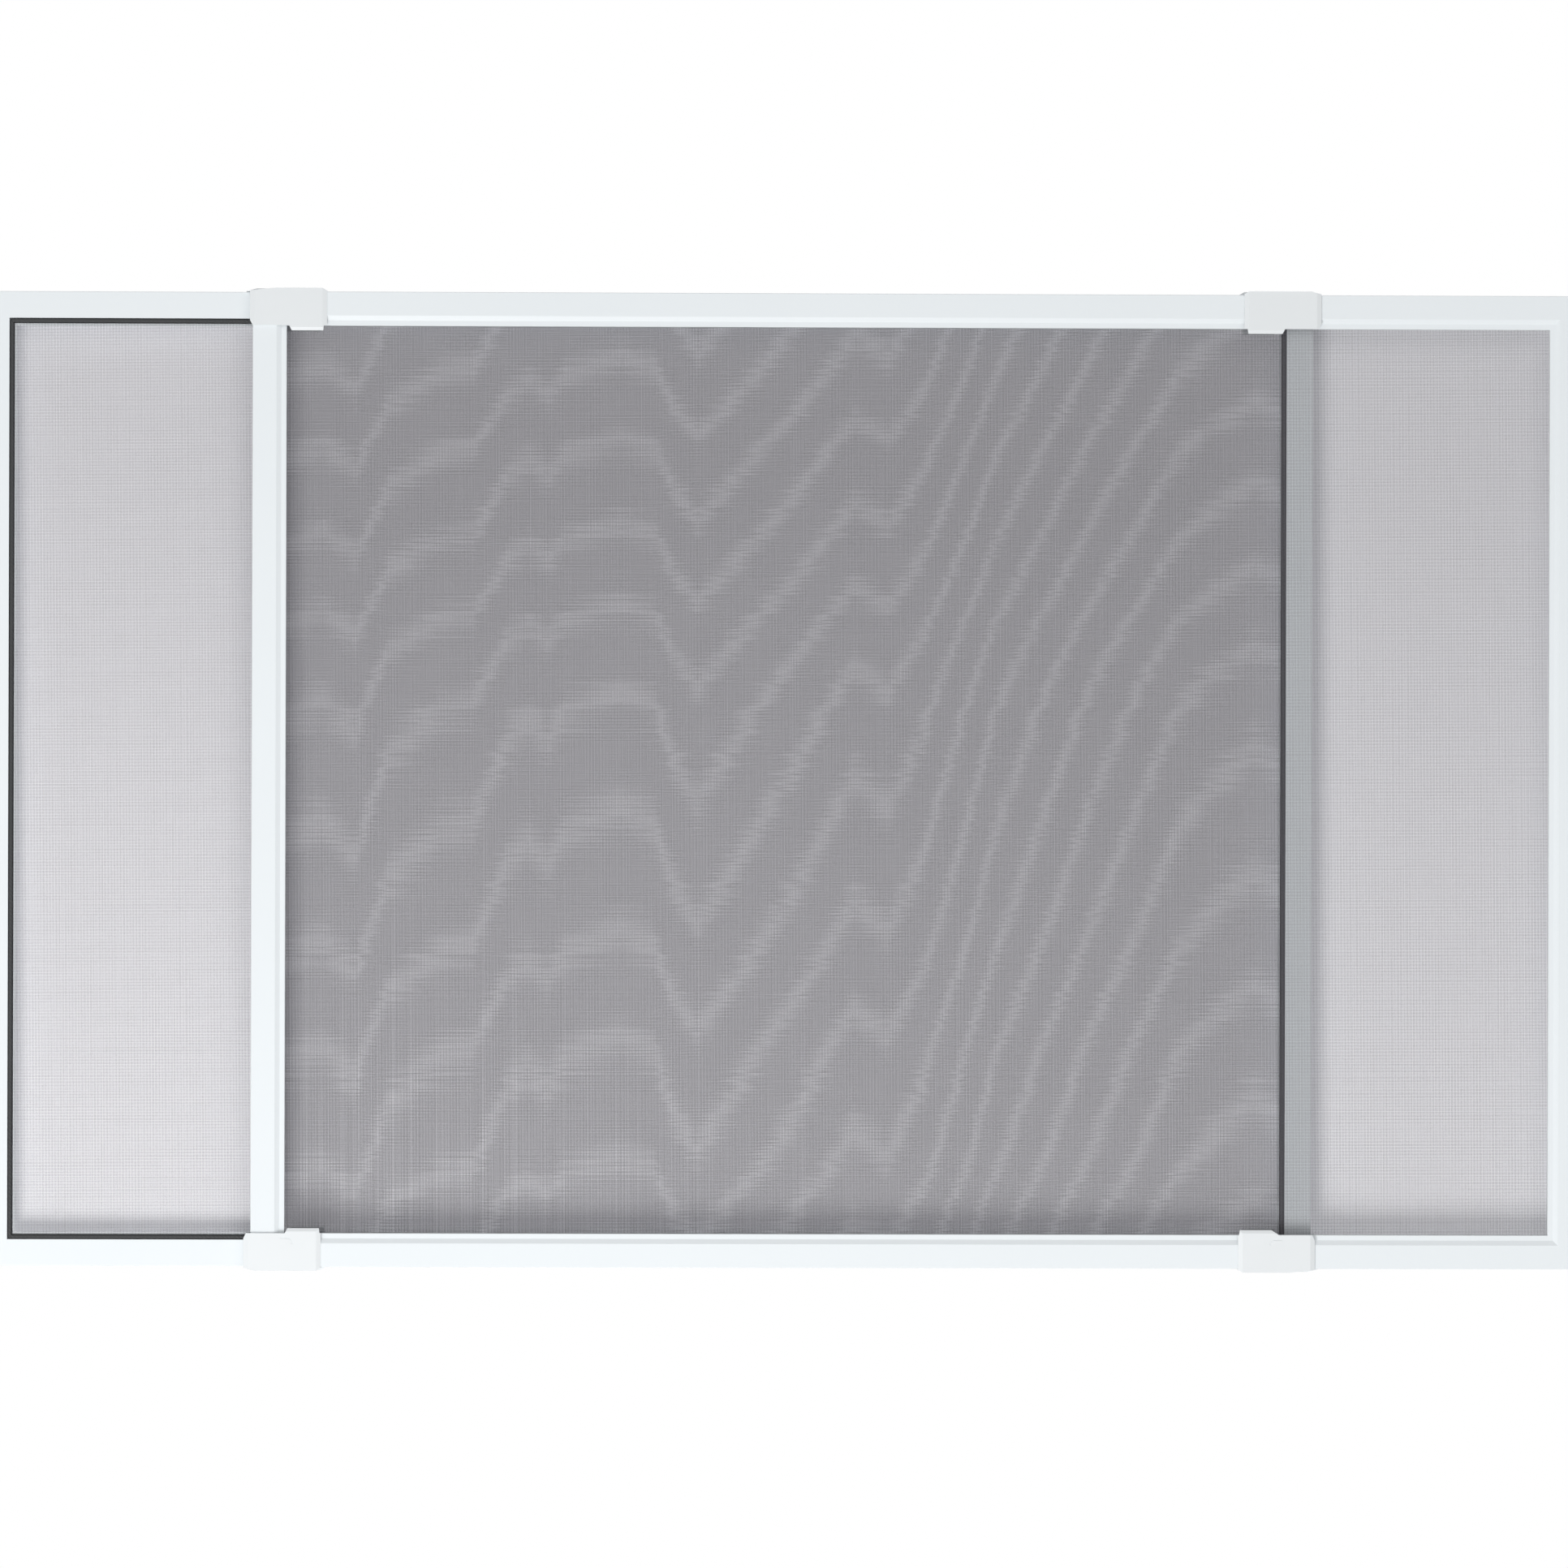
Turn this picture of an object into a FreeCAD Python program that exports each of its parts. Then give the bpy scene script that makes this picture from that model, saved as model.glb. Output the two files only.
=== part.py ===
"""Adjustable window screen: two identical aluminium frames with insect mesh that slide past each other.

Each panel is four mitred lengths of one hollow profile on hidden corner keys. A black rubber
spline holds the mesh in a channel on the inner side. Two plastic guides at one end of each panel
wrap round the other panel's rails, so the pair can be drawn out to the width of the window.

Lengths are millimetres. X runs along the slide, Y from the front panel to the rear one, Z up.
The origin is under the middle of the pair as drawn, on the plane that the lower guides stand on.
"""

import FreeCAD
import Part
import Sketcher
import math
import os
import re

# Driving sizes: name, millimetres (or a count), and what it is
SIZES = [
    ("panel_width", 1025, "outer width of one panel"),
    ("panel_height", 750, "outer height of one panel"),
    ("panel_shift", 208, "how far the two panels stand apart sideways as drawn"),
    ("panel_gap", 1, "air between the two panels"),
    ("bar_width", 26, "width of the frame profile"),
    ("bar_depth", 10, "depth of the frame profile"),
    ("bar_wall", 0.9, "wall of the extrusion"),
    ("bar_round", 0.5, "radius along its outer corners"),
    ("step_start", 18.3, "outer edge to the sloping step down to the inner lip"),
    ("step_width", 3.7, "width of that slope"),
    ("step_depth", 2, "how far the lip's face lies below the bar's face"),
    ("channel_start", 20.4, "outer edge to the spline channel"),
    ("channel_width", 4, "width of the spline channel"),
    ("channel_floor", 4.6, "outer face to the floor of the channel"),
    ("lip_top", 7, "outer face to the top of the lip that the mesh lies on"),
    ("saw_overrun", 2, "how far a mitre cut runs past the profile"),
    ("hem_thickness", 0.35, "mesh folded down into the channel"),
    ("thread_width", 2.2, "width of one drawn thread"),
    ("thread_thickness", 0.3, "thickness of one layer of threads"),
    ("warp_count", 11, "upright threads drawn across the panel"),
    ("weft_count", 9, "level threads drawn up the panel"),
    ("spline_clearance", 0.1, "room round the spline in its channel"),
    ("spline_top", 9.3, "outer face to the crown of the spline"),
    ("spline_round", 1.2, "radius along the crown"),
    ("spline_turn", 3, "outer radius where the spline turns a corner"),
    ("key_leg", 42, "corner to the tip of a key's leg"),
    ("key_clearance", 0.15, "room round a key inside the profile"),
    ("key_chamfer", 2.5, "lead-in at the tips of a key"),
    ("key_tooth", 3, "spacing and width of the bite marks on a key"),
    ("key_tooth_depth", 0.6, "depth of those marks"),
    ("key_teeth", 4, "bite marks on each leg"),
    ("slide_clearance", 0.4, "room round the rail that slides in a guide"),
    ("web_wall", 2.4, "wall of a guide over the rails' edges"),
    ("cheek_wall", 1.8, "wall of a guide on the rails' faces"),
    ("long_reach", 57, "panel end to the far end of a guide's long cheek"),
    ("long_start", 2.2, "how far the long cheek stands past the panel's end"),
    ("long_slope", 20, "length of the long cheek's sloping shoulder"),
    ("long_tab_start", 27.8, "panel end to the long cheek's tab on the side of its own panel"),
    ("short_reach", 54, "panel end to the far end of a guide's short cheek"),
    ("short_start", 5.4, "how far the short cheek stands past the panel's end"),
    ("short_slope", 8, "length of the short cheek's sloping shoulder"),
    ("short_tab_start", 22.6, "panel end to the short cheek's tab on the sliding side"),
    ("ramp_tab_start", 25.3, "panel end to the long cheek's tab on the sliding side"),
    ("ramp_slope", 5.8, "run of that tab's long first slope"),
    ("upper_tab_inset", 2.4, "cheek's far end to its tab on an upper guide"),
    ("lower_tab_inset", 0.8, "cheek's far end to its tab on a lower guide"),
    ("tab_drop", 3.8, "how far a tab hangs past the rail's inner edge"),
    ("tab_slope", 2, "run of the first sloping end of the other tabs"),
    ("tab_stop_slope", 0.6, "run of every tab's steep far end"),
    ("tab_bevel", 2.4, "height of the bevel along a tab's free edge"),
    ("tab_bevel_depth", 1.1, "depth of that bevel"),
    ("mark_start", 23, "panel end to the moulded line on a lower guide's cheeks"),
    ("mark_end", 32.5, "panel end to where that line has turned down"),
    ("mark_top", 22.8, "rail's outer edge to the line's level run"),
    ("mark_foot", 18, "rail's outer edge to the line's lower end"),
    ("mark_turn", 2.4, "size of the line's slanted corner"),
    ("mark_line", 1, "width of the line"),
    ("mark_depth", 0.4, "depth of the line"),
    ("hook_gap", 0.4, "rail's inner edge to the hook behind a tab"),
    ("hook_depth", 3, "how far the hook reaches under the rail"),
    ("shoulder_drop", 2, "fall of a guide's sloping shoulders"),
    ("cheek_corner", 4, "height cut off a cheek's inner corner past the panel's end"),
    ("bevel_run", 3.5, "width of the bevel at a cheek's ends"),
    ("bevel_depth", 1.3, "depth of that bevel"),
]

doc = FreeCAD.newDocument("window_screen")
sheet = doc.addObject("Spreadsheet::Sheet", "Sizes")
for row, (name, number, meaning) in enumerate(SIZES, start=1):
    sheet.set(f"A{row}", name)
    sheet.set(f"B{row}", str(number))
    sheet.setAlias(f"B{row}", name)
    sheet.set(f"C{row}", meaning)
doc.recompute()

pieces = []

FRONT = {"name": "front", "sign": "", "turn": 0}
REAR = {"name": "rear", "sign": "-", "turn": 180}


def bound(formula):
    """Return a formula in the sheet's own names as an expression of this document."""
    return re.sub(r"[a-z]\w*", lambda word: f"Sizes.{word.group(0)}", formula)


def plane(body, role):
    """Find one of a body's own origin planes."""
    return next(item for item in body.Origin.OriginFeatures if item.Role == role)


def new_piece(label, panel, corner_x="0", corner_z="0", turn=0):
    """Start a body for one piece, with its own corner at a corner of a panel.

    The rear panel is the front one turned half round the upright axis, so its places have the
    opposite sign. A turn, in degrees, is about the depth axis.
    """
    body = doc.addObject("PartDesign::Body", label)
    body.Label = label
    across = f"(panel_shift - panel_width) / 2 + {corner_x}"
    body.setExpression("Placement.Base.x", bound(f"{panel['sign']}({across})"))
    body.setExpression("Placement.Base.y", bound(f"{panel['sign']}(-bar_depth - panel_gap / 2)"))
    body.setExpression("Placement.Base.z", bound(f"slide_clearance + web_wall + {corner_z}"))
    upright = FreeCAD.Rotation(FreeCAD.Vector(0, 0, 1), panel["turn"])
    deep = FreeCAD.Rotation(FreeCAD.Vector(0, 1, 0), turn)
    body.Placement = FreeCAD.Placement(FreeCAD.Vector(), upright * deep)
    pieces.append(body)
    return body


def new_sketch(body, name, role, level="0"):
    """Attach a sketch to one of the body's origin planes, at a level along the plane's normal."""
    sketch = body.newObject("Sketcher::SketchObject", f"{body.Name}_{name}")
    sketch.AttachmentSupport = [(plane(body, role), "")]
    sketch.MapMode = "FlatFace"
    sketch.setExpression("AttachmentOffset.Base.z", bound(level))
    return sketch


def draw(sketch, corners):
    """Draw a closed outline and tie each corner, a pair of formulas, to the sheet.

    The lines start as a rough ring, and the constraints pull every corner to its place.
    """
    first = sketch.GeometryCount
    count = len(corners)
    ring = [
        FreeCAD.Vector(math.cos(math.tau * i / count), math.sin(math.tau * i / count), 0)
        for i in range(count)
    ]
    for i in range(count):
        sketch.addGeometry(Part.LineSegment(ring[i], ring[(i + 1) % count]), False)
    for i in range(count):
        following = first + (i + 1) % count
        sketch.addConstraint(Sketcher.Constraint("Coincident", first + i, 2, following, 1))
    for i, corner in enumerate(corners):
        for direction, formula in zip(("DistanceX", "DistanceY"), corner):
            number = sketch.addConstraint(
                Sketcher.Constraint(direction, -1, 1, first + i, 1, ring[i].x)
            )
            sketch.setExpression(f"Constraints[{number}]", bound(formula))


def rectangle(left, bottom, right, top):
    """Return the four corners of a rectangle whose sides are formulas."""
    return [(left, bottom), (right, bottom), (right, top), (left, top)]


def pad(body, name, role, outlines, length, level="0", backwards=False):
    """Add material: outlines drawn on a plane at a level, carried along its normal."""
    sketch = new_sketch(body, name, role, level)
    for corners in outlines:
        draw(sketch, corners)
    feature = body.newObject("PartDesign::Pad", f"{body.Name}_{name}_pad")
    feature.Profile = sketch
    feature.setExpression("Length", bound(length))
    feature.Reversed = backwards
    doc.recompute()
    return feature


def cut_through(body, name, role, outlines):
    """Take material away: outlines carried right through the body, both ways."""
    sketch = new_sketch(body, name, role)
    for corners in outlines:
        draw(sketch, corners)
    feature = body.newObject("PartDesign::Pocket", f"{body.Name}_{name}_cut")
    feature.Profile = sketch
    feature.Type = "ThroughAll"
    feature.Midplane = True
    doc.recompute()
    return feature


def sink(body, name, corners, depth, level, backwards=False):
    """Sink one outline to a depth into a face that lies in an XZ plane at a level."""
    sketch = new_sketch(body, name, "XZ_Plane", level)
    draw(sketch, corners)
    feature = body.newObject("PartDesign::Pocket", f"{body.Name}_{name}_recess")
    feature.Profile = sketch
    feature.setExpression("Length", bound(depth))
    feature.Reversed = backwards
    doc.recompute()
    return feature


def size(name):
    """Read one driving size as a plain number."""
    return float(sheet.get(name))


def edges_along(body, direction, places):
    """Name the straight edges that run along a direction through any of the given places.

    A place gives a coordinate for each axis, or None where the edge may lie anywhere.
    """
    found = []
    for number, edge in enumerate(body.Tip.Shape.Edges, start=1):
        if edge.Curve.TypeId != "Part::GeomLine":
            continue
        middle = edge.valueAt((edge.FirstParameter + edge.LastParameter) / 2)
        along = edge.tangentAt(edge.FirstParameter)
        if abs(abs(along.dot(direction)) - 1) > 1e-6:
            continue
        for place in places:
            misses = [abs(a - b) for a, b in zip(middle, place) if b is not None]
            if max(misses) < 1e-4:
                found.append(f"Edge{number}")
                break
    return found


def soften(body, name, kind, edges, formula):
    """Round (Fillet) or bevel (Chamfer) the named edges of a body."""
    before = body.Tip
    feature = body.newObject(f"PartDesign::{kind}", f"{body.Name}_{name}")
    feature.Base = (before, edges)
    property_name = "Radius" if kind == "Fillet" else "Size"
    feature.setExpression(property_name, bound(formula))
    doc.recompute()
    return feature


ALONG_X = FreeCAD.Vector(1, 0, 0)
ALONG_Y = FreeCAD.Vector(0, 1, 0)

# The profile's section, each corner as (depth from the outer face, distance from the outer edge)
LIP_START = "channel_start + channel_width"
STEP_END = "step_start + step_width"
PROFILE = [
    ("0", "0"),
    ("0", "step_start"),
    ("step_depth", STEP_END),
    ("step_depth", "bar_width"),
    ("lip_top", "bar_width"),
    ("lip_top", LIP_START),
    ("channel_floor", LIP_START),
    ("channel_floor", "channel_start"),
    ("bar_depth", "channel_start"),
    ("bar_depth", "0"),
]
CHAMBER = [
    ("bar_wall", "bar_wall"),
    ("bar_wall", "step_start - bar_wall / 2"),
    ("step_depth", "channel_start - bar_wall"),
    ("bar_depth - bar_wall", "channel_start - bar_wall"),
    ("bar_depth - bar_wall", "bar_wall"),
]


def frame_bar(label, panel, length, corner_x, corner_z, turn):
    """Extrude one length of the profile and saw a mitre at both ends."""
    bar = new_piece(label, panel, corner_x, corner_z, turn)
    pad(bar, "section", "YZ_Plane", [PROFILE, CHAMBER], length)
    depth = size("bar_depth")
    lip_corner = (None, size("step_depth"), size("bar_width"))
    outer_corners = [(None, 0, 0), (None, depth, 0), lip_corner]
    soften(bar, "corners", "Fillet", edges_along(bar, ALONG_X, outer_corners), "bar_round")
    far = "bar_width + saw_overrun"
    cut_through(
        bar,
        "mitres",
        "XZ_Plane",
        [
            [("-saw_overrun", "-saw_overrun"), (far, far), ("-saw_overrun", far)],
            [
                (f"{length} + saw_overrun", "-saw_overrun"),
                (f"{length} + saw_overrun", far),
                (f"{length} - ({far})", far),
            ],
        ],
    )
    return bar


def ring(inset_out, inset_in):
    """Return the two outlines of a frame drawn at two insets from the panel's edge."""
    return [
        rectangle(inset, inset, f"panel_width - ({inset})", f"panel_height - ({inset})")
        for inset in (inset_out, inset_in)
    ]


def insect_mesh(label, panel):
    """Make the mesh: a net of crossed threads, and its hem down the lip and under the spline.

    The real cloth has about thirty threads to the inch. Here it is drawn with wide spacing.
    """
    mesh = new_piece(label, panel)
    hem_edge = f"{LIP_START} - hem_thickness"
    foot_edge = "channel_start + spline_clearance"
    # The XZ plane faces backwards in Y, so a level is negative and a pad runs backwards.
    hem_height = "lip_top - channel_floor"
    border = ring(hem_edge, "bar_width")
    layer = "thread_thickness"
    pad(mesh, "border", "XZ_Plane", border, f"2 * {layer}", "-lip_top", True)
    hem = ring(hem_edge, LIP_START)
    pad(mesh, "hem", "XZ_Plane", hem, hem_height, "-channel_floor", True)
    foot = ring(foot_edge, hem_edge)
    pad(mesh, "foot", "XZ_Plane", foot, "hem_thickness", "-channel_floor", True)
    opening_width = "(panel_width - 2 * bar_width)"
    opening_height = "(panel_height - 2 * bar_width)"
    threads = (
        ("warp", opening_width, "-lip_top", "H_Axis"),
        ("weft", opening_height, f"-(lip_top + {layer})", "V_Axis"),
    )
    for name, opening, level, axis in threads:
        step = f"{opening} / ({name}_count + 1)"
        near = f"bar_width + {step} - thread_width / 2"
        far = f"bar_width + {step} + thread_width / 2"
        if name == "warp":
            outline = rectangle(near, "bar_width", far, "panel_height - bar_width")
        else:
            outline = rectangle("bar_width", near, "panel_width - bar_width", far)
        thread = pad(mesh, name, "XZ_Plane", [outline], layer, level, True)
        row = mesh.newObject("PartDesign::LinearPattern", f"{mesh.Name}_{name}s")
        row.Originals = [thread]
        row.Direction = (thread.Profile[0], [axis])
        row.setExpression("Length", bound(f"{step} * ({name}_count - 1)"))
        row.setExpression("Occurrences", bound(f"{name}_count"))
        mesh.Tip = row
        doc.recompute()
    return mesh


def rubber_spline(label, panel):
    """Make the rubber cord that is pressed into the channel all the way round, over the hem."""
    spline = new_piece(label, panel)
    outer = "channel_start + spline_clearance"
    inner = f"{LIP_START} - hem_thickness - spline_clearance"
    foot = "channel_floor + hem_thickness + spline_clearance"
    outlines = ring(outer, inner)
    pad(spline, "loop", "XZ_Plane", outlines, f"spline_top - ({foot})", f"-({foot})", True)
    near = size("channel_start") + size("spline_clearance")
    width = size("panel_width")
    height = size("panel_height")
    corners = [(x, None, z) for x in (near, width - near) for z in (near, height - near)]
    soften(spline, "turns", "Fillet", edges_along(spline, ALONG_Y, corners), "spline_turn")
    crown = [
        f"Edge{number}"
        for number, edge in enumerate(spline.Tip.Shape.Edges, start=1)
        if all(abs(vertex.Y - size("spline_top")) < 1e-4 for vertex in edge.Vertexes)
    ]
    soften(spline, "crown", "Fillet", crown, "spline_round")
    return spline


def corner_key(label, panel, corner_x, corner_z, turn):
    """Make the hidden plastic key that holds a mitre shut, one leg in each profile."""
    key = new_piece(label, panel, corner_x, corner_z, turn)
    near = "bar_wall + key_clearance"
    far = "step_start - bar_wall - key_clearance"
    outline = [
        (near, near),
        ("key_leg", near),
        ("key_leg", far),
        (far, far),
        (far, "key_leg"),
        (near, "key_leg"),
    ]
    depth = f"bar_depth - 2 * ({near})"
    pad(key, "angle", "XZ_Plane", [outline], depth, f"-({near})", True)
    low = size("bar_wall") + size("key_clearance")
    high = size("step_start") - low
    leg = size("key_leg")
    tips = [(leg, None, low), (leg, None, high), (low, None, leg), (high, None, leg)]
    soften(key, "tips", "Chamfer", edges_along(key, ALONG_Y, tips), "key_chamfer")
    marks = []
    for tooth in range(int(size("key_teeth"))):
        start = f"key_leg - key_chamfer - {2 * tooth + 1} * key_tooth"
        end = f"{start} + key_tooth"
        marks.append(rectangle(start, near, end, f"{near} + key_tooth_depth"))
        marks.append(rectangle(near, start, f"{near} + key_tooth_depth", end))
    cut_through(key, "teeth", "XZ_Plane", marks)
    return key


def guide(label, panel, up, cheeks, corner_z):
    """Mould one plastic guide: a web over both rails' edges and a hooked cheek on each face.

    The own side grips the end of its panel, with a wall past the panel's end and a tab in the
    corner of its frame. The other side has running clearance round the other panel's rail.
    """
    clip = new_piece(label, panel, "0", corner_z)
    web_outer = "(slide_clearance + web_wall)"
    middle = "bar_depth + panel_gap / 2"
    sliding_face = "(2 * bar_depth + panel_gap + slide_clearance)"
    tab_end = "(bar_width + tab_drop)"
    tab_inset = "lower_tab_inset" if up == 1 else "upper_tab_inset"

    def elevation(points):
        """Turn a lower guide's front outline the other way up for an upper one."""
        return [(across, f"{up} * ({height})") for across, height in points]

    for side, cheek in zip(("own", "sliding"), cheeks):
        start = f"-{cheek}_start"
        reach = f"{cheek}_reach"
        slope = f"{cheek}_slope"
        tab_start, tab_slope = {
            ("own", "long"): ("long_tab_start", "tab_slope"),
            ("own", "short"): ("(bar_width + hook_gap)", "tab_slope"),
            ("sliding", "long"): ("ramp_tab_start", "ramp_slope"),
            ("sliding", "short"): ("short_tab_start", "tab_slope"),
        }[side, cheek]
        tab_stop = f"({reach} - {tab_inset})"
        shoulders = [
            (start, f"-{web_outer} + shoulder_drop"),
            (f"{start} + {slope}", f"-{web_outer}"),
            (f"{reach} - bevel_run", f"-{web_outer}"),
            (reach, f"-{web_outer} + shoulder_drop"),
        ]
        face = shoulders + [
            (reach, "bar_width"),
            (tab_stop, "bar_width"),
            (f"{tab_stop} - tab_stop_slope", tab_end),
            (f"{tab_start} + {tab_slope}", tab_end),
            (tab_start, "bar_width"),
            (f"{start} + cheek_corner / 2", "bar_width"),
            (start, "bar_width - cheek_corner"),
        ]
        roof = shoulders + [(reach, "-slide_clearance"), (start, "-slide_clearance")]
        hook = rectangle(
            f"{tab_start} + {tab_slope}",
            "bar_width + hook_gap",
            f"{tab_stop} - tab_stop_slope",
            tab_end,
        )
        if side == "own":
            cheek_level = "-cheek_wall"
            roof_level = "0"
            roof_depth = middle
            hook_level = "0"
        else:
            cheek_level = sliding_face
            roof_level = middle
            roof_depth = f"{sliding_face} - ({middle})"
            hook_level = f"{sliding_face} - hook_depth"
        layers = (
            ("cheek", face, "cheek_wall", cheek_level),
            ("roof", roof, roof_depth, roof_level),
            ("hook", hook, "hook_depth", hook_level),
        )
        for part, outline, depth, level in layers:
            name = f"{side}_{part}"
            pad(clip, name, "XZ_Plane", [elevation(outline)], depth, f"-({level})", True)
        if side == "own":
            wall = elevation(
                rectangle(start, "-slide_clearance", "0", "bar_width - cheek_corner")
            )
            pad(clip, "end_wall", "XZ_Plane", [wall], "bar_depth", "0", True)

    bevels = []
    tab_bevels = []
    for cheek, face_at, outward in zip(cheeks, ("0", sliding_face), ("-", "+")):
        skin = f"{face_at} {outward} cheek_wall"
        beyond = f"{skin} {outward} saw_overrun"
        land = f"{face_at} {outward} (cheek_wall - bevel_depth)"
        tab_land = f"{face_at} {outward} (cheek_wall - tab_bevel_depth)"
        tab_bevels.append(
            [
                (skin, f"{up} * ({tab_end} - tab_bevel)"),
                (beyond, f"{up} * ({tab_end} - tab_bevel)"),
                (beyond, f"{up} * ({tab_end} + saw_overrun)"),
                (tab_land, f"{up} * ({tab_end} + saw_overrun)"),
                (tab_land, f"{up} * {tab_end}"),
            ]
        )
        for end, inward in ((f"-{cheek}_start", "+"), (f"{cheek}_reach", "-")):
            outside = f"{end} {'-' if inward == '+' else '+'} saw_overrun"
            bevels.append(
                [
                    (f"{end} {inward} bevel_run", skin),
                    (f"{end} {inward} bevel_run", beyond),
                    (outside, beyond),
                    (outside, land),
                    (end, land),
                ]
            )
    cut_through(clip, "bevels", "XY_Plane", bevels)
    cut_through(clip, "tab_bevels", "YZ_Plane", tab_bevels)
    if up == 1:
        mark = [
            ("mark_start", "mark_top"),
            ("mark_start", "mark_top - mark_line"),
            ("mark_end - mark_turn", "mark_top - mark_line"),
            ("mark_end - mark_line", "mark_top - mark_turn"),
            ("mark_end - mark_line", "mark_foot"),
            ("mark_end", "mark_foot"),
            ("mark_end", "mark_top - mark_turn"),
            ("mark_end - mark_turn", "mark_top"),
        ]
        sink(clip, "own_mark", mark, "mark_depth", "cheek_wall")
        outer_face = f"-({sliding_face} + cheek_wall)"
        sink(clip, "sliding_mark", mark, "mark_depth", outer_face, True)
    return clip


for panel in (FRONT, REAR):
    name = panel["name"]
    frame_bar(f"{name}_bottom_rail", panel, "panel_width", "0", "0", 0)
    frame_bar(f"{name}_guide_stile", panel, "panel_height", "0", "panel_height", 90)
    frame_bar(f"{name}_top_rail", panel, "panel_width", "panel_width", "panel_height", 180)
    frame_bar(f"{name}_end_stile", panel, "panel_height", "panel_width", "0", 270)
    corner_key(f"{name}_lower_guide_key", panel, "0", "0", 0)
    corner_key(f"{name}_upper_guide_key", panel, "0", "panel_height", 90)
    corner_key(f"{name}_upper_end_key", panel, "panel_width", "panel_height", 180)
    corner_key(f"{name}_lower_end_key", panel, "panel_width", "0", 270)
    insect_mesh(f"{name}_mesh", panel)
    rubber_spline(f"{name}_spline", panel)
    guide(f"{name}_lower_guide", panel, 1, ("short", "long"), "0")
    guide(f"{name}_upper_guide", panel, -1, ("long", "short"), "panel_height")

doc.recompute()

for item in doc.Objects:
    if "Invalid" in item.State or "Error" in item.State:
        raise RuntimeError(f"{item.Label} failed: {item.State}")
for piece in pieces:
    shape = piece.Shape
    if shape.isNull() or not shape.isValid() or len(shape.Solids) != 1:
        raise RuntimeError(f"{piece.Label} isn't one valid solid")

os.makedirs("parts", exist_ok=True)
for piece in pieces:
    piece.Shape.exportStep(f"parts/{piece.Label}.step")
    box = piece.Shape.BoundBox
    print(
        f"{piece.Label}: x {box.XMin:.2f} to {box.XMax:.2f}, y {box.YMin:.2f} to {box.YMax:.2f}, "
        f"z {box.ZMin:.2f} to {box.ZMax:.2f}, {piece.Shape.Volume:.0f} cubic mm"
    )
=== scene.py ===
"""Looks of the adjustable window insect screen: painted profiles, moulded guides, spline and mesh."""

import bmesh
import bpy
import math
import random
from mathutils import Matrix, Vector


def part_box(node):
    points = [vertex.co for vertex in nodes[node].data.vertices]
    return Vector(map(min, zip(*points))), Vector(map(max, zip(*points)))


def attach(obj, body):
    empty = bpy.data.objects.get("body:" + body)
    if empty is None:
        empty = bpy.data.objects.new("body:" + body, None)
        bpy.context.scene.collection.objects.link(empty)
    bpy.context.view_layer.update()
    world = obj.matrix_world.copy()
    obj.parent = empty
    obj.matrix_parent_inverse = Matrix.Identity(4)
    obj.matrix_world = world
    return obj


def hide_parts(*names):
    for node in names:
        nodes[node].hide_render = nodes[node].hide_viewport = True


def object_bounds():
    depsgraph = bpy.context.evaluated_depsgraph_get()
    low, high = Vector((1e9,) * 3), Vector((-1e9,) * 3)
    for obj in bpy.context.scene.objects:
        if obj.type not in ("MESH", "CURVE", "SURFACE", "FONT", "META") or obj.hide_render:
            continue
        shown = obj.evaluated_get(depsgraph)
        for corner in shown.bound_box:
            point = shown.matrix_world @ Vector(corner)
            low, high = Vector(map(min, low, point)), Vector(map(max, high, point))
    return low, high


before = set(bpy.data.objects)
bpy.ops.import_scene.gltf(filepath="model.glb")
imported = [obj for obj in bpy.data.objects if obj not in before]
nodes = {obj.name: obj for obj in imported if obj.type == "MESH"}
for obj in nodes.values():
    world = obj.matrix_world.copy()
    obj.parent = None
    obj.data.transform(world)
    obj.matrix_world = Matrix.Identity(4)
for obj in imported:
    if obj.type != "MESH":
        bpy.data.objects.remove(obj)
cad_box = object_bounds()
scene = bpy.context.scene
scene.view_settings.view_transform = "Standard"

# The frame bars: eight lengths of extruded aluminium with a white powder coat.
# The coat has a fine orange-peel skin and is a little uneven in shade and gloss.
PAINT_WHITE = (0.850, 0.892, 0.915, 1.0)
PAINT_SHADE = (0.828, 0.870, 0.893, 1.0)
PAINT_GLOSS = (0.36, 0.46)
PEEL_SCALE = 650.0
PEEL_DEPTH = 0.00004


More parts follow.
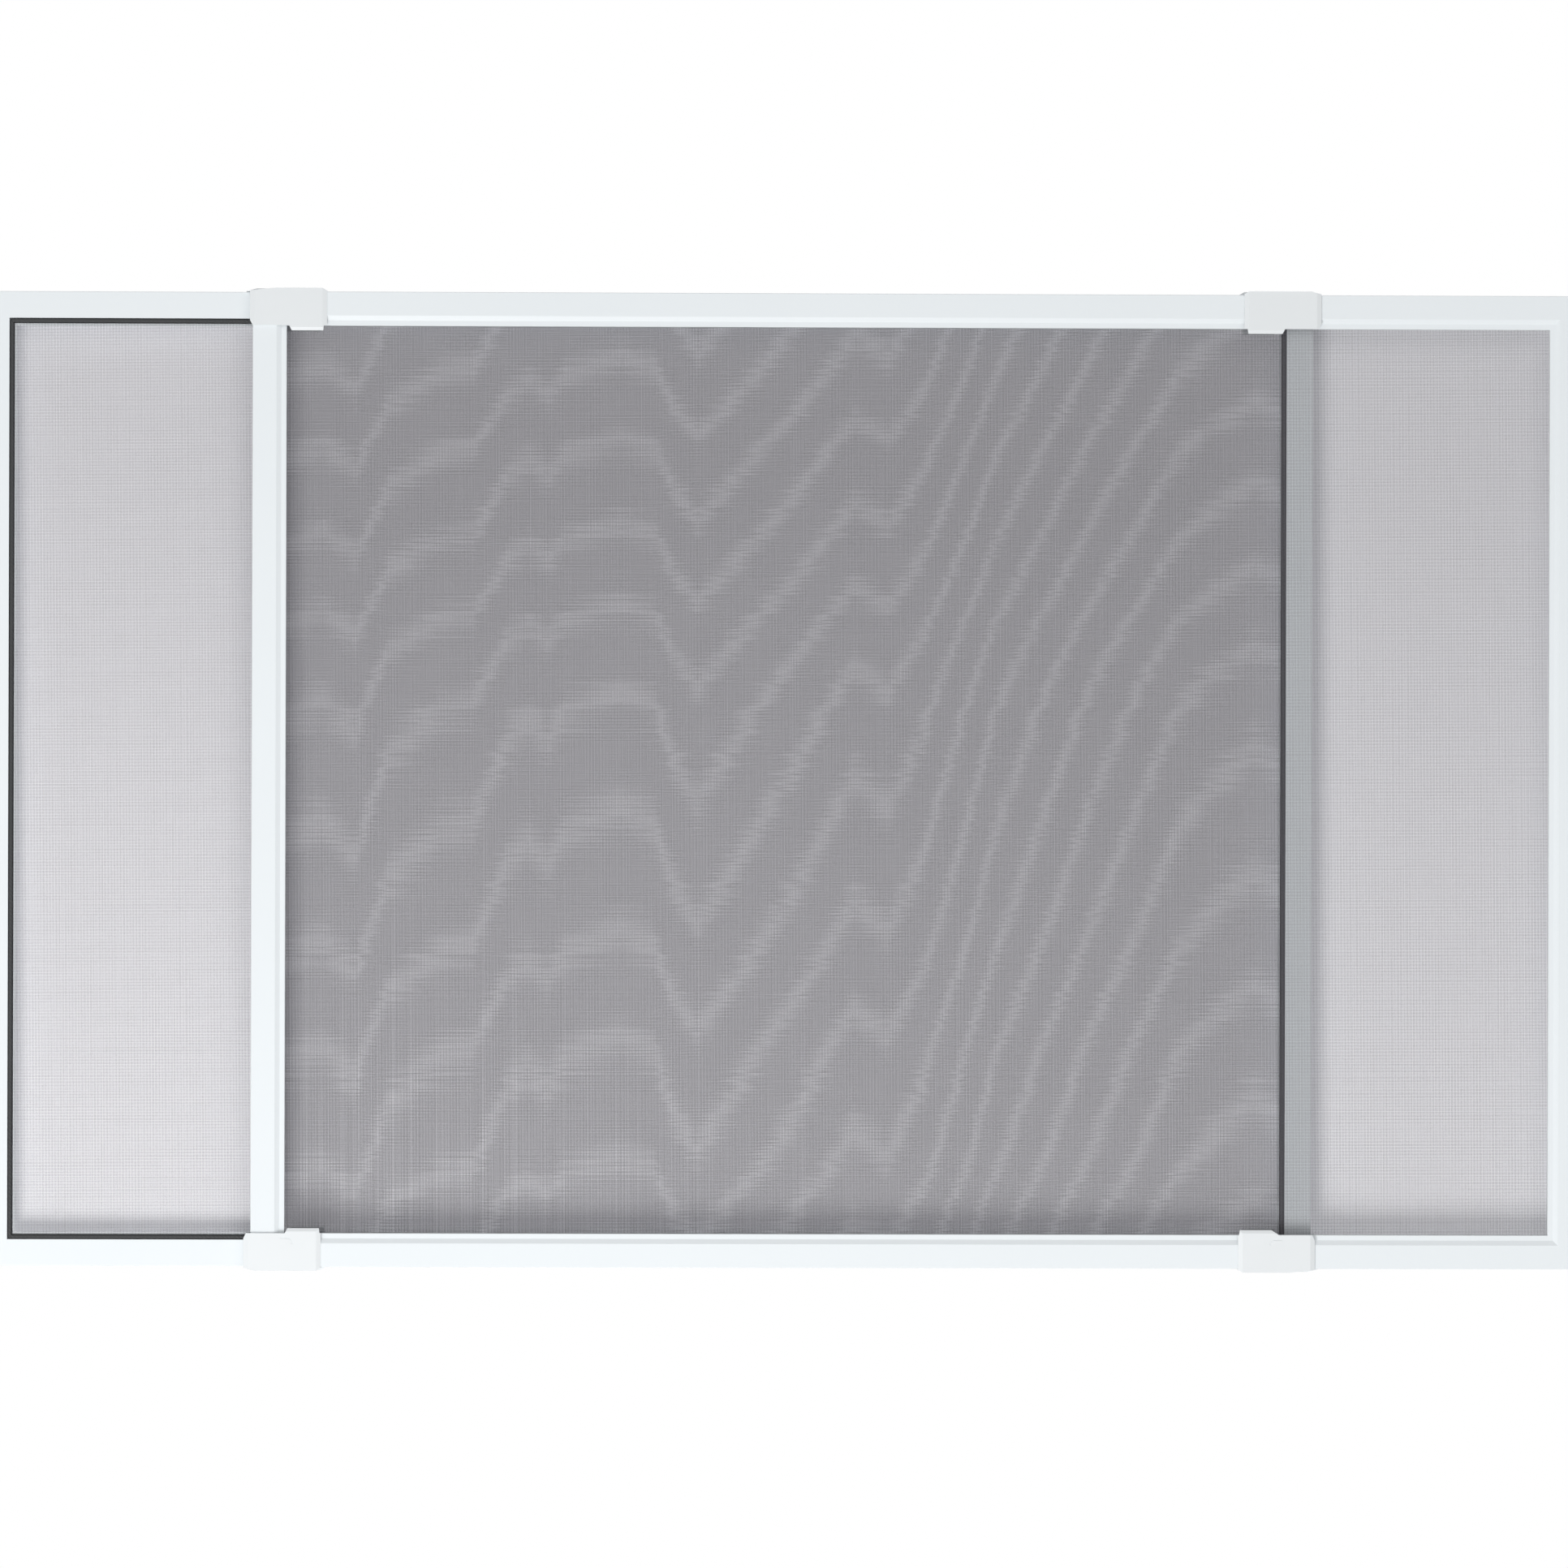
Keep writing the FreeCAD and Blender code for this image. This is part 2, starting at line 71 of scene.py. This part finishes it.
def skin_group():
    """Make the shared surface skin: slow shade drift, gloss drift and a fine raised grain."""
    group = bpy.data.node_groups.new("moulded_skin", "ShaderNodeTree")
    face = group.interface
    for socket, kind in (
        ("Light", "NodeSocketColor"),
        ("Shade", "NodeSocketColor"),
        ("Smooth", "NodeSocketFloat"),
        ("Dull", "NodeSocketFloat"),
        ("Drift Scale", "NodeSocketFloat"),
        ("Grain Scale", "NodeSocketFloat"),
    ):
        face.new_socket(name=socket, in_out="INPUT", socket_type=kind)
    for socket, kind in (
        ("Color", "NodeSocketColor"),
        ("Roughness", "NodeSocketFloat"),
        ("Height", "NodeSocketFloat"),
    ):
        face.new_socket(name=socket, in_out="OUTPUT", socket_type=kind)
    tree = group.nodes
    link = group.links.new
    given = tree.new("NodeGroupInput")
    out = tree.new("NodeGroupOutput")
    place = tree.new("ShaderNodeTexCoord")
    drift = tree.new("ShaderNodeTexNoise")
    drift.inputs["Detail"].default_value = 3.0
    grain = tree.new("ShaderNodeTexNoise")
    grain.inputs["Detail"].default_value = 2.0
    tint = tree.new("ShaderNodeMix")
    tint.data_type = "RGBA"
    gloss = tree.new("ShaderNodeMapRange")
    link(place.outputs["Object"], drift.inputs["Vector"])
    link(place.outputs["Object"], grain.inputs["Vector"])
    link(given.outputs["Drift Scale"], drift.inputs["Scale"])
    link(given.outputs["Grain Scale"], grain.inputs["Scale"])
    link(drift.outputs["Fac"], tint.inputs["Factor"])
    link(given.outputs["Light"], tint.inputs[6])
    link(given.outputs["Shade"], tint.inputs[7])
    link(grain.outputs["Fac"], gloss.inputs["Value"])
    link(given.outputs["Smooth"], gloss.inputs["To Min"])
    link(given.outputs["Dull"], gloss.inputs["To Max"])
    link(tint.outputs[2], out.inputs["Color"])
    link(gloss.outputs["Result"], out.inputs["Roughness"])
    link(grain.outputs["Fac"], out.inputs["Height"])
    return group


moulded_skin = skin_group()


def skin_material(name, light, shade, gloss, drift_scale, grain_scale, grain_depth):
    """Make one opaque finish from the shared skin, with its own colours, gloss and grain."""
    material = bpy.data.materials.new(name)
    material.use_nodes = True
    tree = material.node_tree
    shader = tree.nodes["Principled BSDF"]
    skin = tree.nodes.new("ShaderNodeGroup")
    skin.node_tree = moulded_skin
    skin.inputs["Light"].default_value = light
    skin.inputs["Shade"].default_value = shade
    skin.inputs["Smooth"].default_value = gloss[0]
    skin.inputs["Dull"].default_value = gloss[1]
    skin.inputs["Drift Scale"].default_value = drift_scale
    skin.inputs["Grain Scale"].default_value = grain_scale
    bump = tree.nodes.new("ShaderNodeBump")
    bump.inputs["Distance"].default_value = grain_depth
    tree.links.new(skin.outputs["Color"], shader.inputs["Base Color"])
    tree.links.new(skin.outputs["Roughness"], shader.inputs["Roughness"])
    tree.links.new(skin.outputs["Height"], bump.inputs["Height"])
    tree.links.new(bump.outputs["Normal"], shader.inputs["Normal"])
    return material


def dress(node_endings, material):
    """Give a material to every frame node whose name ends in one of the given ways."""
    for name, piece in nodes.items():
        if name.endswith(node_endings):
            piece.data.materials.clear()
            piece.data.materials.append(material)


powder_coat = skin_material(
    "white_powder_coat", PAINT_WHITE, PAINT_SHADE, PAINT_GLOSS, 9.0, PEEL_SCALE, PEEL_DEPTH
)
dress(("_rail", "_stile"), powder_coat)

# The corner keys: natural plastic angles hidden inside the mitred ends of the profiles.
# They show only when the frame is taken apart.
KEY_CREAM = (0.72, 0.71, 0.66, 1.0)
KEY_SHADE = (0.68, 0.67, 0.62, 1.0)
key_plastic = skin_material(
    "natural_plastic", KEY_CREAM, KEY_SHADE, (0.5, 0.6), 30.0, 900.0, 0.00003
)
dress(("_key",), key_plastic)

# The guides: white injection-moulded plastic, a little greyer and warmer than the paint.
# Each clips round the end of its own panel and lets the other panel's rail slide through.
GUIDE_WHITE = (0.828, 0.856, 0.870, 1.0)
GUIDE_SHADE = (0.800, 0.830, 0.845, 1.0)
guide_plastic = skin_material(
    "moulded_guide_plastic", GUIDE_WHITE, GUIDE_SHADE, (0.38, 0.5), 40.0, 1100.0, 0.00003
)
dress(("_guide",), guide_plastic)

# The splines: black rubber cord pressed into the channel over the edge of the mesh.
# Fine ribs run across the cord and grip the cloth.
RUBBER_BLACK = (0.030, 0.032, 0.034, 1.0)
RUBBER_SHADE = (0.018, 0.019, 0.020, 1.0)
RIB_SPACING = 0.0016
RIB_DEPTH = 0.00018


def rubber_material():
    """Make black rubber with ribs that follow the cord on its level and upright runs alike."""
    material = skin_material(
        "black_rubber", RUBBER_BLACK, RUBBER_SHADE, (0.5, 0.68), 60.0, 800.0, 0.00004
    )
    tree = material.node_tree
    place = tree.nodes.new("ShaderNodeTexCoord")
    ribs = tree.nodes.new("ShaderNodeTexWave")
    ribs.wave_type = "BANDS"
    ribs.bands_direction = "DIAGONAL"
    ribs.inputs["Scale"].default_value = math.pi / (10 * RIB_SPACING)
    rib_bump = tree.nodes.new("ShaderNodeBump")
    rib_bump.inputs["Distance"].default_value = RIB_DEPTH
    grain_bump = tree.nodes["Bump"]
    tree.links.new(place.outputs["Object"], ribs.inputs["Vector"])
    tree.links.new(ribs.outputs["Fac"], rib_bump.inputs["Height"])
    tree.links.new(rib_bump.outputs["Normal"], grain_bump.inputs["Normal"])
    return material


dress(("_spline",), rubber_material())

# The mesh: grey coated glass-fibre threads, level wefts fused to upright warps, 30 to the inch.
# The cloth is stretched over the lip of the profile, and its hem is held under the spline.
THREAD_PITCH = 0.0254 / 30
THREAD_THICKNESS = {"front": 0.000168, "rear": 0.000156}
THREAD_CLEARANCE = 0.00002
THREAD_JITTER = 0.09
THREAD_LETS_THROUGH = 0.71
THREAD_GREY = (0.122, 0.116, 0.136, 1.0)
THREAD_SHADE = (0.092, 0.088, 0.106, 1.0)
LIP_HEIGHT = 0.0024
HEM_END = 0.0002
HEM_FOOT = 0.00366
HEM_TOP = 0.00379
LIP_OUTER_EDGE = 0.00395
# How far the cloth's wefts stray from level, in threads, at places across the screen in metres
WEFT_STRAY = {
    "front": [
        (-0.384, -1.30), (-0.354, -1.15), (-0.329, -1.42), (-0.304, -0.62), (-0.264, -0.25),
        (-0.239, -0.18), (-0.212, 0.50), (-0.196, 0.66), (-0.181, 0.50), (-0.168, 0.73),
        (-0.125, 0.93), (-0.099, 0.80), (-0.085, 0.35), (-0.066, 0.0),
    ],
    "rear": [
        (-0.066, 0.0), (-0.040, -0.42), (0.010, -1.30), (0.055, -2.20), (0.081, -1.95),
        (0.095, -2.25), (0.110, -2.62), (0.144, -3.90), (0.164, -4.75), (0.239, -7.03),
        (0.304, -8.75), (0.329, -9.10), (0.364, -9.45), (0.384, -9.30),
    ],
}
# How far the rows of wefts are drawn apart, in threads, at heights in metres
WEFT_DRAW = {
    "front": [
        (0.016, 8.40), (0.086, 7.32), (0.180, 6.22), (0.260, 5.13), (0.360, 4.02),
        (0.450, 2.92), (0.514, 1.84), (0.579, 0.77), (0.644, -0.30), (0.709, -1.37),
        (0.750, -2.06),
    ],
    "rear": [(0.0, 0.0), (0.75, 0.0)],
}
# How far the warps stray, in threads: at the low left corner, and in each metre across
WARP_LEAN = {"front": 0.22, "rear": 0.0}
WARP_DRAW = {"front": 0.0, "rear": 1.11}
WARP_OFFSET = {"front": 0.0, "rear": 0.5}


def between(points, at):
    """Read a value off a line drawn through points."""
    for (x0, y0), (x1, y1) in zip(points, points[1:]):
        if at <= x1:
            break
    share = min(max((at - x0) / (x1 - x0), 0.0), 1.0)
    return y0 + share * (y1 - y0)


def draw_thread(bm, thickness, stations, upright):
    """Draw one square thread by pulling its end face from each station on to the next."""
    made = bmesh.ops.create_circle(
        bm, cap_ends=False, segments=4, radius=thickness / math.sqrt(2)
    )["verts"]
    bmesh.ops.rotate(bm, verts=made, matrix=Matrix.Rotation(math.radians(45), 3, "Z"))
    if not upright:
        bmesh.ops.rotate(bm, verts=made, matrix=Matrix.Rotation(math.radians(90), 3, "Y"))
    bmesh.ops.translate(bm, verts=made, vec=stations[0])
    edges = bm.edges[:]
    bmesh.ops.edgeloop_fill(bm, edges=edges)
    for here, there in zip(stations, stations[1:]):
        pulled = bmesh.ops.extrude_edge_only(bm, edges=edges)["geom"]
        made = [item for item in pulled if isinstance(item, bmesh.types.BMVert)]
        edges = [item for item in pulled if isinstance(item, bmesh.types.BMEdge)]
        bmesh.ops.translate(bm, verts=made, vec=Vector(there) - Vector(here))
    bmesh.ops.edgeloop_fill(bm, edges=edges)
    bmesh.ops.recalc_face_normals(bm, faces=bm.faces)


def mitre_bends(bm, stations, along, rise):
    """Slant the thread's end sections where it turns, so that it keeps its thickness there."""
    last = len(stations) - 1
    for number, slant in ((1, -rise), (2, -rise), (last - 2, rise), (last - 1, rise)):
        at = Vector(stations[number])
        for vert in bm.verts:
            if abs(vert.co[along] - at[along]) < THREAD_CLEARANCE / 10:
                vert.co[along] += slant * (vert.co.y - at.y)


def lay_side_by_side(bm, count, step):
    """Lay copies of a thread side by side, doubling the row until there are enough."""
    one = len(bm.verts)
    laid = 1
    while laid < count:
        more = min(laid, count - laid)
        bm.verts.ensure_lookup_table()
        verts = bm.verts[: more * one]
        edges = {edge for vert in verts for edge in vert.link_edges}
        faces = {face for vert in verts for face in vert.link_faces}
        made = bmesh.ops.duplicate(bm, geom=[*verts, *edges, *faces])["geom"]
        copies = [item for item in made if isinstance(item, bmesh.types.BMVert)]
        bmesh.ops.translate(bm, verts=copies, vec=Vector(step) * laid)
        laid += more
    bm.verts.ensure_lookup_table()
    return one


def hem_stations(low, high, floor, rise, level, middles):
    """List where a thread goes: under the spline, up the lip, across, and down again."""
    foot = floor + rise * (level - LIP_HEIGHT)
    top = floor + rise * level
    return [
        (low + HEM_END, foot),
        (low + HEM_FOOT, foot),
        (low + HEM_TOP, top),
        *[(middle, top) for middle in middles],
        (high - HEM_TOP, top),
        (high - HEM_FOOT, foot),
        (high - HEM_END, foot),
    ]


def weave(panel, rise, seed):
    """Weave one panel's mesh. rise is the way that the cloth climbs the lip, +1 or -1 in Y."""
    low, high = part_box(f"{panel}_mesh")
    floor = low.y if rise > 0 else high.y
    thickness = THREAD_THICKNESS[panel]
    warp_level = LIP_HEIGHT + thickness / 2 + THREAD_CLEARANCE
    weft_level = warp_level + 0.6 * thickness
    draw = random.Random(seed)

    wefts = bmesh.new()
    stray = WEFT_STRAY[panel]
    route = hem_stations(low.x, high.x, floor, rise, weft_level, [x for x, _ in stray])
    first = math.ceil(low.z / THREAD_PITCH) * THREAD_PITCH
    stations = [(x, y, first + THREAD_PITCH * between(stray, x)) for x, y in route]
    draw_thread(wefts, thickness, stations, upright=False)
    mitre_bends(wefts, stations, 0, rise)
    spare = round(max(abs(shift) for _, shift in WEFT_DRAW[panel] + stray)) + 1
    bmesh.ops.translate(wefts, verts=wefts.verts, vec=(0, 0, -spare * THREAD_PITCH))
    count = int((high.z - low.z) / THREAD_PITCH) + 2 * spare
    one = lay_side_by_side(wefts, count, (0, 0, THREAD_PITCH))
    for thread in range(count):
        height = first + (thread - spare) * THREAD_PITCH
        shift = between(WEFT_DRAW[panel], height) + THREAD_JITTER * draw.uniform(-1, 1)
        for vert in wefts.verts[thread * one : (thread + 1) * one]:
            vert.co.z += THREAD_PITCH * shift
    for edge, facing in ((low.z + LIP_OUTER_EDGE, -1), (high.z - LIP_OUTER_EDGE, 1)):
        cut = bmesh.ops.bisect_plane(
            wefts,
            geom=[*wefts.verts, *wefts.edges, *wefts.faces],
            plane_co=(0, 0, edge),
            plane_no=(0, 0, facing),
            clear_outer=True,
        )["geom_cut"]
        rims = [item for item in cut if isinstance(item, bmesh.types.BMEdge)]
        bmesh.ops.holes_fill(wefts, edges=rims, sides=0)
    data = bpy.data.meshes.new(f"{panel}_mesh_cloth")
    wefts.to_mesh(data)
    wefts.free()

    warps = bmesh.new()
    middle = (low.z + high.z) / 2
    route = hem_stations(low.z, high.z, floor, rise, warp_level, [middle])
    first = math.ceil((low.x + LIP_OUTER_EDGE) / THREAD_PITCH) * THREAD_PITCH
    stations = [(first, y, z) for z, y in route]
    draw_thread(warps, thickness, stations, upright=True)
    mitre_bends(warps, stations, 2, rise)
    count = int((high.x - LIP_OUTER_EDGE - first) / THREAD_PITCH)
    one = lay_side_by_side(warps, count, (THREAD_PITCH, 0, 0))
    for thread in range(count):
        across = first + thread * THREAD_PITCH
        shift = WARP_OFFSET[panel] + WARP_DRAW[panel] * across
        shift += THREAD_JITTER * draw.uniform(-1, 1)
        lean = WARP_LEAN[panel] * min(max(0.6 - across / 0.6, 0.0), 1.0)
        for vert in warps.verts[thread * one : (thread + 1) * one]:
            fallen = min(max((middle - vert.co.z) / (middle - low.z), 0.0), 1.0)
            vert.co.x += THREAD_PITCH * (shift + lean * fallen)
    warps.from_mesh(data)
    warps.to_mesh(data)
    warps.free()
    cloth = bpy.data.objects.new(f"{panel}_mesh_cloth", data)
    scene.collection.objects.link(cloth)
    return cloth


def thread_material():
    """Make the thread's coating. The glass fibres scatter part of the light on through them."""
    material = skin_material(
        "coated_glass_fibre", THREAD_GREY, THREAD_SHADE, (0.45, 0.6), 25.0, 1500.0, 0.00002
    )
    tree = material.node_tree
    path = tree.nodes.new("ShaderNodeLightPath")
    lighting = tree.nodes.new("ShaderNodeMath")
    lighting.operation = "MAXIMUM"
    cover = tree.nodes.new("ShaderNodeMath")
    cover.operation = "MULTIPLY_ADD"
    cover.inputs[1].default_value = -THREAD_LETS_THROUGH
    cover.inputs[2].default_value = 1.0
    tree.links.new(path.outputs["Is Shadow Ray"], lighting.inputs[0])
    tree.links.new(path.outputs["Is Diffuse Ray"], lighting.inputs[1])
    tree.links.new(lighting.outputs[0], cover.inputs[0])
    tree.links.new(cover.outputs[0], tree.nodes["Principled BSDF"].inputs["Alpha"])
    return material


thread_coating = thread_material()
for panel, rise, seed in (("front", 1, 11), ("rear", -1, 23)):
    cloth = weave(panel, rise, seed)
    cloth.data.materials.append(thread_coating)
    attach(cloth, f"{panel}_panel")
    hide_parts(f"{panel}_mesh")
    low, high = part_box(f"{panel}_mesh")

# The floor: plain and white, well below the screen, so that the low lamp clears it.
# It keeps the screen's shadow, and looks white to the camera and in reflections.
FLOOR_LEVEL = -2.60
FLOOR_SIZE = 12.0
FLOOR_WHITE = (0.9, 0.9, 0.9, 1.0)
FLOOR_GLOW = 0.45


def seen_directly(tree):
    """Return a value that is 1 for what the camera, a reflection or a clear view sees."""
    path = tree.nodes.new("ShaderNodeLightPath")
    direct = tree.nodes.new("ShaderNodeMath")
    direct.operation = "MAXIMUM"
    seen = tree.nodes.new("ShaderNodeMath")
    seen.operation = "MAXIMUM"
    tree.links.new(path.outputs["Is Camera Ray"], direct.inputs[0])
    tree.links.new(path.outputs["Is Glossy Ray"], direct.inputs[1])
    tree.links.new(direct.outputs[0], seen.inputs[0])
    tree.links.new(path.outputs["Is Transmission Ray"], seen.inputs[1])
    return seen.outputs[0]


def matt_white(name, colour):
    """Start a dull white material and return it with its node tree and shader."""
    material = bpy.data.materials.new(name)
    material.use_nodes = True
    tree = material.node_tree
    matt = tree.nodes["Principled BSDF"]
    matt.inputs["Base Color"].default_value = colour
    matt.inputs["Roughness"].default_value = 0.9
    matt.inputs["Specular IOR Level"].default_value = 0.0
    return material, tree, matt


def floor_material():
    """Make a floor that the camera sees as paper white, with soft shadows on it."""
    material, tree, matt = matt_white("white_floor", FLOOR_WHITE)
    glow = tree.nodes.new("ShaderNodeEmission")
    glow.inputs["Color"].default_value = (1, 1, 1, 1)
    strength = tree.nodes.new("ShaderNodeMath")
    strength.operation = "MULTIPLY"
    strength.inputs[1].default_value = FLOOR_GLOW
    both = tree.nodes.new("ShaderNodeAddShader")
    tree.links.new(seen_directly(tree), strength.inputs[0])
    tree.links.new(strength.outputs[0], glow.inputs["Strength"])
    tree.links.new(matt.outputs["BSDF"], both.inputs[0])
    tree.links.new(glow.outputs["Emission"], both.inputs[1])
    tree.links.new(both.outputs["Shader"], tree.nodes["Material Output"].inputs["Surface"])
    return material


bm = bmesh.new()
bmesh.ops.create_grid(bm, x_segments=1, y_segments=1, size=FLOOR_SIZE / 2)
bmesh.ops.translate(bm, verts=bm.verts, vec=(0, 0, FLOOR_LEVEL))
floor_mesh = bpy.data.meshes.new("floor")
bm.to_mesh(floor_mesh)
bm.free()
floor = bpy.data.objects.new("floor", floor_mesh)
scene.collection.objects.link(floor)
floor.data.materials.append(floor_material())

# The wall: a plain white board close behind the screen, which the rails shade softly.
# Only the view from in front, and light that has bounced more than once, meets it.
WALL_DISTANCE = 0.0075
WALL_INSET = 0.013
WALL_WHITE = (0.965, 0.955, 0.985, 1.0)
WALL_HEIGHTS = (0.1, 0.6)
# Painted light: an extra white on the board, strongest at the bottom, so that it looks brighter low
# down
WALL_PAINTED_LIGHT = (0.33, 0.17)


def board_material():
    """Make the wall's white with painted light, brighter low down, for the view from in front alone.
    """
    material, tree, matt = matt_white("white_board", WALL_WHITE)
    place = tree.nodes.new("ShaderNodeTexCoord")
    split = tree.nodes.new("ShaderNodeSeparateXYZ")
    by_height = tree.nodes.new("ShaderNodeMapRange")
    by_height.inputs["From Min"].default_value = WALL_HEIGHTS[0]
    by_height.inputs["From Max"].default_value = WALL_HEIGHTS[1]
    by_height.inputs["To Min"].default_value = WALL_PAINTED_LIGHT[0]
    by_height.inputs["To Max"].default_value = WALL_PAINTED_LIGHT[1]
    # The painted light: a second white added on top of the board's own, graded by height
    painted_light = tree.nodes.new("ShaderNodeBsdfDiffuse")
    both = tree.nodes.new("ShaderNodeAddShader")
    path = tree.nodes.new("ShaderNodeLightPath")
    facing = tree.nodes.new("ShaderNodeNewGeometry")
    bounces = tree.nodes.new("ShaderNodeMath")
    bounces.operation = "ADD"
    repeated = tree.nodes.new("ShaderNodeMath")
    repeated.operation = "GREATER_THAN"
    repeated.inputs[1].default_value = 1.5
    met = tree.nodes.new("ShaderNodeMath")
    met.operation = "MAXIMUM"
    front = tree.nodes.new("ShaderNodeMath")
    front.operation = "SUBTRACT"
    front.use_clamp = True
    clear = tree.nodes.new("ShaderNodeBsdfTransparent")
    side = tree.nodes.new("ShaderNodeMixShader")
    tree.links.new(place.outputs["Object"], split.inputs["Vector"])
    tree.links.new(split.outputs["Z"], by_height.inputs["Value"])
    tree.links.new(by_height.outputs["Result"], painted_light.inputs["Color"])
    tree.links.new(matt.outputs["BSDF"], both.inputs[0])
    tree.links.new(painted_light.outputs["BSDF"], both.inputs[1])
    tree.links.new(path.outputs["Diffuse Depth"], bounces.inputs[0])
    tree.links.new(path.outputs["Is Shadow Ray"], bounces.inputs[1])
    tree.links.new(bounces.outputs[0], repeated.inputs[0])
    tree.links.new(path.outputs["Is Camera Ray"], met.inputs[0])
    tree.links.new(repeated.outputs[0], met.inputs[1])
    tree.links.new(met.outputs[0], front.inputs[0])
    tree.links.new(facing.outputs["Backfacing"], front.inputs[1])
    tree.links.new(front.outputs[0], side.inputs["Fac"])
    tree.links.new(clear.outputs["BSDF"], side.inputs[1])
    tree.links.new(both.outputs["Shader"], side.inputs[2])
    tree.links.new(side.outputs["Shader"], tree.nodes["Material Output"].inputs["Surface"])
    return material


low, high = cad_box
bm = bmesh.new()
bmesh.ops.create_grid(bm, x_segments=1, y_segments=1, size=0.5)
bmesh.ops.rotate(bm, verts=bm.verts, matrix=Matrix.Rotation(math.radians(90), 3, "X"))
wall_width = high.x - low.x - 2 * WALL_INSET
wall_height = high.z - low.z - 2 * WALL_INSET
bmesh.ops.scale(bm, verts=bm.verts, vec=(wall_width, 1, wall_height))
wall_place = ((low.x + high.x) / 2, high.y + WALL_DISTANCE, (low.z + high.z) / 2)
bmesh.ops.translate(bm, verts=bm.verts, vec=wall_place)
wall_mesh = bpy.data.meshes.new("white_wall")
bm.to_mesh(wall_mesh)
bm.free()
wall = bpy.data.objects.new("white_wall", wall_mesh)
scene.collection.objects.link(wall)
wall.data.materials.append(board_material())

# The surroundings: white where they are seen, and a soft even light on the object.
# A broad lamp low on the left and a fainter one above give the rails their shading.
SKY_LIGHT = 0.50
KEY_LAMP = {"at": (-1.2, -2.8, -1.75), "size": 1.6, "watts": 74.0}
TOP_LAMP = {"at": (1.4, -4.0, 2.4), "size": 2.0, "watts": 22.0}
AIM = (0.0, 0.0, 0.378)

world = bpy.data.worlds.new("white_room")
scene.world = world
world.use_nodes = True
tree = world.node_tree
tree.nodes.clear()
seen_sky = tree.nodes.new("ShaderNodeBackground")
seen_sky.inputs["Color"].default_value = (1, 1, 1, 1)
seen_sky.inputs["Strength"].default_value = 1.0
light_sky = tree.nodes.new("ShaderNodeBackground")
light_sky.inputs["Color"].default_value = (1, 1, 1, 1)
light_sky.inputs["Strength"].default_value = SKY_LIGHT
sky_mix = tree.nodes.new("ShaderNodeMixShader")
sky_out = tree.nodes.new("ShaderNodeOutputWorld")
tree.links.new(seen_directly(tree), sky_mix.inputs["Fac"])
tree.links.new(light_sky.outputs["Background"], sky_mix.inputs[1])
tree.links.new(seen_sky.outputs["Background"], sky_mix.inputs[2])
tree.links.new(sky_mix.outputs["Shader"], sky_out.inputs["Surface"])


def aim(thing, at, target):
    """Place a lamp or camera and point it at a target, with its top upwards."""
    thing.location = at
    thing.rotation_euler = (Vector(target) - Vector(at)).to_track_quat("-Z", "Y").to_euler()


for name, lamp in (("key_lamp", KEY_LAMP), ("top_lamp", TOP_LAMP)):
    light = bpy.data.lights.new(name, "AREA")
    light.size = lamp["size"]
    light.energy = lamp["watts"]
    lamp_object = bpy.data.objects.new(name, light)
    scene.collection.objects.link(lamp_object)
    aim(lamp_object, lamp["at"], AIM)

# The camera: almost square on from seven metres, so that perspective hardly shows.
# Both outer ends of the screen lie just past the picture's edges.
VIEW_DISTANCE = 7.0
VIEW_WIDTH = 1.2062
VIEW_CENTRE = (0.0008, 0.3752)
VIEW_TURN = math.radians(1.0)
VIEW_ROLL = math.radians(0.165)
FILM_WIDTH = 36.0

camera = bpy.data.cameras.new("camera")
camera.sensor_width = FILM_WIDTH
camera.lens = FILM_WIDTH * VIEW_DISTANCE / VIEW_WIDTH
camera.clip_end = 100.0
camera_object = bpy.data.objects.new("camera", camera)
scene.collection.objects.link(camera_object)
view_target = Vector((VIEW_CENTRE[0], cad_box[0][1], VIEW_CENTRE[1]))
eye_offset = Vector((-math.sin(VIEW_TURN), -math.cos(VIEW_TURN), 0)) * VIEW_DISTANCE
aim(camera_object, view_target + eye_offset, view_target)
camera_object.rotation_euler.rotate_axis("Z", VIEW_ROLL)
scene.camera = camera_object
